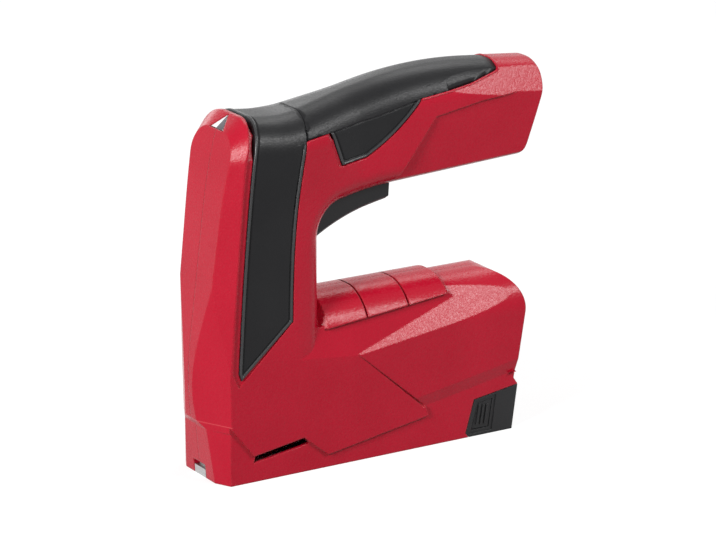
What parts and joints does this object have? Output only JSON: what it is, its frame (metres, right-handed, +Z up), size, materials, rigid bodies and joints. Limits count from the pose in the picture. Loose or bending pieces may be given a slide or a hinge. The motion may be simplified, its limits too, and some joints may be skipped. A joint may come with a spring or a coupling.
{
  "type": "cordless stapler",
  "caption": "Cordless hand stapler: leaning column with a soft band, handle with trigger, and a rear box over a pull-out staple magazine.",
  "frame": {"origin": "centre of the object's plan outline, on the flat base it stands on", "axes": "+X towards the rear end of the handle, nose towards -X; +Y across to the right side; +Z up from the base"},
  "size_m": [0.1812, 0.0456, 0.1778],
  "materials": {
    "red_shell": "fine texture",
    "soft_black": "soft touch",
    "clear_lens": "clear",
    "light_body": "clear",
    "board_green": "satin",
    "black_plastic": "satin",
    "red_plunger": "satin",
    "cell_sleeve": "satin",
    "nickel": "satin",
    "motor_steel": "satin",
    "bearing_bronze": "satin",
    "tool_steel": "satin",
    "spring_steel": "satin",
    "bumper_rubber": "matte",
    "magazine_sheet": "satin"
  },
  "bodies": {
    "tool": {"housing_left": "red_shell", "housing_right": "red_shell", "soft_band_left": "soft_black", "soft_band_right": "soft_black", "soft_grip_left": "soft_black", "soft_grip_right": "soft_black", "charge_window": "clear_lens", "charge_light": "light_body", "light_board": "board_green", "control_board": "board_green", "switch_body": "black_plastic", "motor_cap": "black_plastic", "battery_cell": "cell_sleeve", "battery_tabs": "nickel", "charge_socket": "nickel", "motor_terminals": "nickel", "motor_can": "motor_steel", "gear_case": "motor_steel", "output_bearing": "bearing_bronze", "guide_rods": "tool_steel", "drive_frame": "tool_steel", "nose_plate": "tool_steel", "trigger_pin": "tool_steel", "housing_screws": "tool_steel", "main_spring": "spring_steel", "contact_spring": "spring_steel", "trigger_spring": "spring_steel", "bumper": "bumper_rubber", "magazine_channel": "magazine_sheet"},
    "trigger_body": {"trigger": "black_plastic"},
    "plunger_body": {"switch_plunger": "red_plunger"},
    "hammer_body": {"hammer": "tool_steel", "driver_blade": "tool_steel"},
    "sector_body": {"sector_gear": "tool_steel", "output_shaft": "tool_steel"},
    "contact_body": {"nose_contact": "tool_steel"},
    "magazine_body": {"magazine_end_cap": "black_plastic", "magazine_rail": "magazine_sheet"},
    "pusher_body": {"pusher": "black_plastic", "pusher_spring": "spring_steel"},
    "left_button": {"latch_button_left": "black_plastic"},
    "right_button": {"latch_button_right": "black_plastic"}
  },
  "joints": [
    {"name": "trigger_pull", "type": "hinge", "parent": "tool", "child": "trigger_body", "pos_m": [0.0046, 0, 0.131], "axis": [0, 1, 0], "range_deg": [0, 7], "stiffness_Nm_per_rad": 0.15, "springref_deg": -11.46},
    {"name": "switch_press", "type": "slide", "parent": "tool", "child": "plunger_body", "axis": [0, 0, 1], "range_m": [0, 0.0019]},
    {"name": "sector_spin", "type": "hinge", "parent": "tool", "child": "sector_body", "pos_m": [-0.0469, 0, 0.052], "axis": [1, 0, 0], "range_deg": [0, 141]},
    {"name": "hammer_lift", "type": "slide", "parent": "tool", "child": "hammer_body", "axis": [0, 0, 1], "range_m": [0, 0.022], "deforming": ["main_spring"]},
    {"name": "contact_press", "type": "slide", "parent": "tool", "child": "contact_body", "axis": [0, 0, 1], "range_m": [0, 0.002], "stiffness_N_per_m": 400, "springref_m": -0.002, "deforming": ["contact_spring"]},
    {"name": "magazine_slide", "type": "slide", "parent": "tool", "child": "magazine_body", "axis": [1, 0, 0], "range_m": [0, 0.095]},
    {"name": "pusher_slide", "type": "slide", "parent": "magazine_body", "child": "pusher_body", "axis": [1, 0, 0], "range_m": [0, 0.07], "stiffness_N_per_m": 20, "springref_m": -0.2},
    {"name": "left_button_press", "type": "slide", "parent": "magazine_body", "child": "left_button", "axis": [0, 1, 0], "range_m": [0, 0.0015], "stiffness_N_per_m": 1500, "springref_m": -0.001},
    {"name": "right_button_press", "type": "slide", "parent": "magazine_body", "child": "right_button", "axis": [0, -1, 0], "range_m": [0, 0.0015], "stiffness_N_per_m": 1500, "springref_m": -0.001}
  ],
  "couplings": [
    {"joint": "switch_press", "follows": "trigger_pull", "m_per_rad": 0.0155},
    {"joint": "sector_spin", "follows": "hammer_lift", "rad_per_m": 111.11}
  ]
}
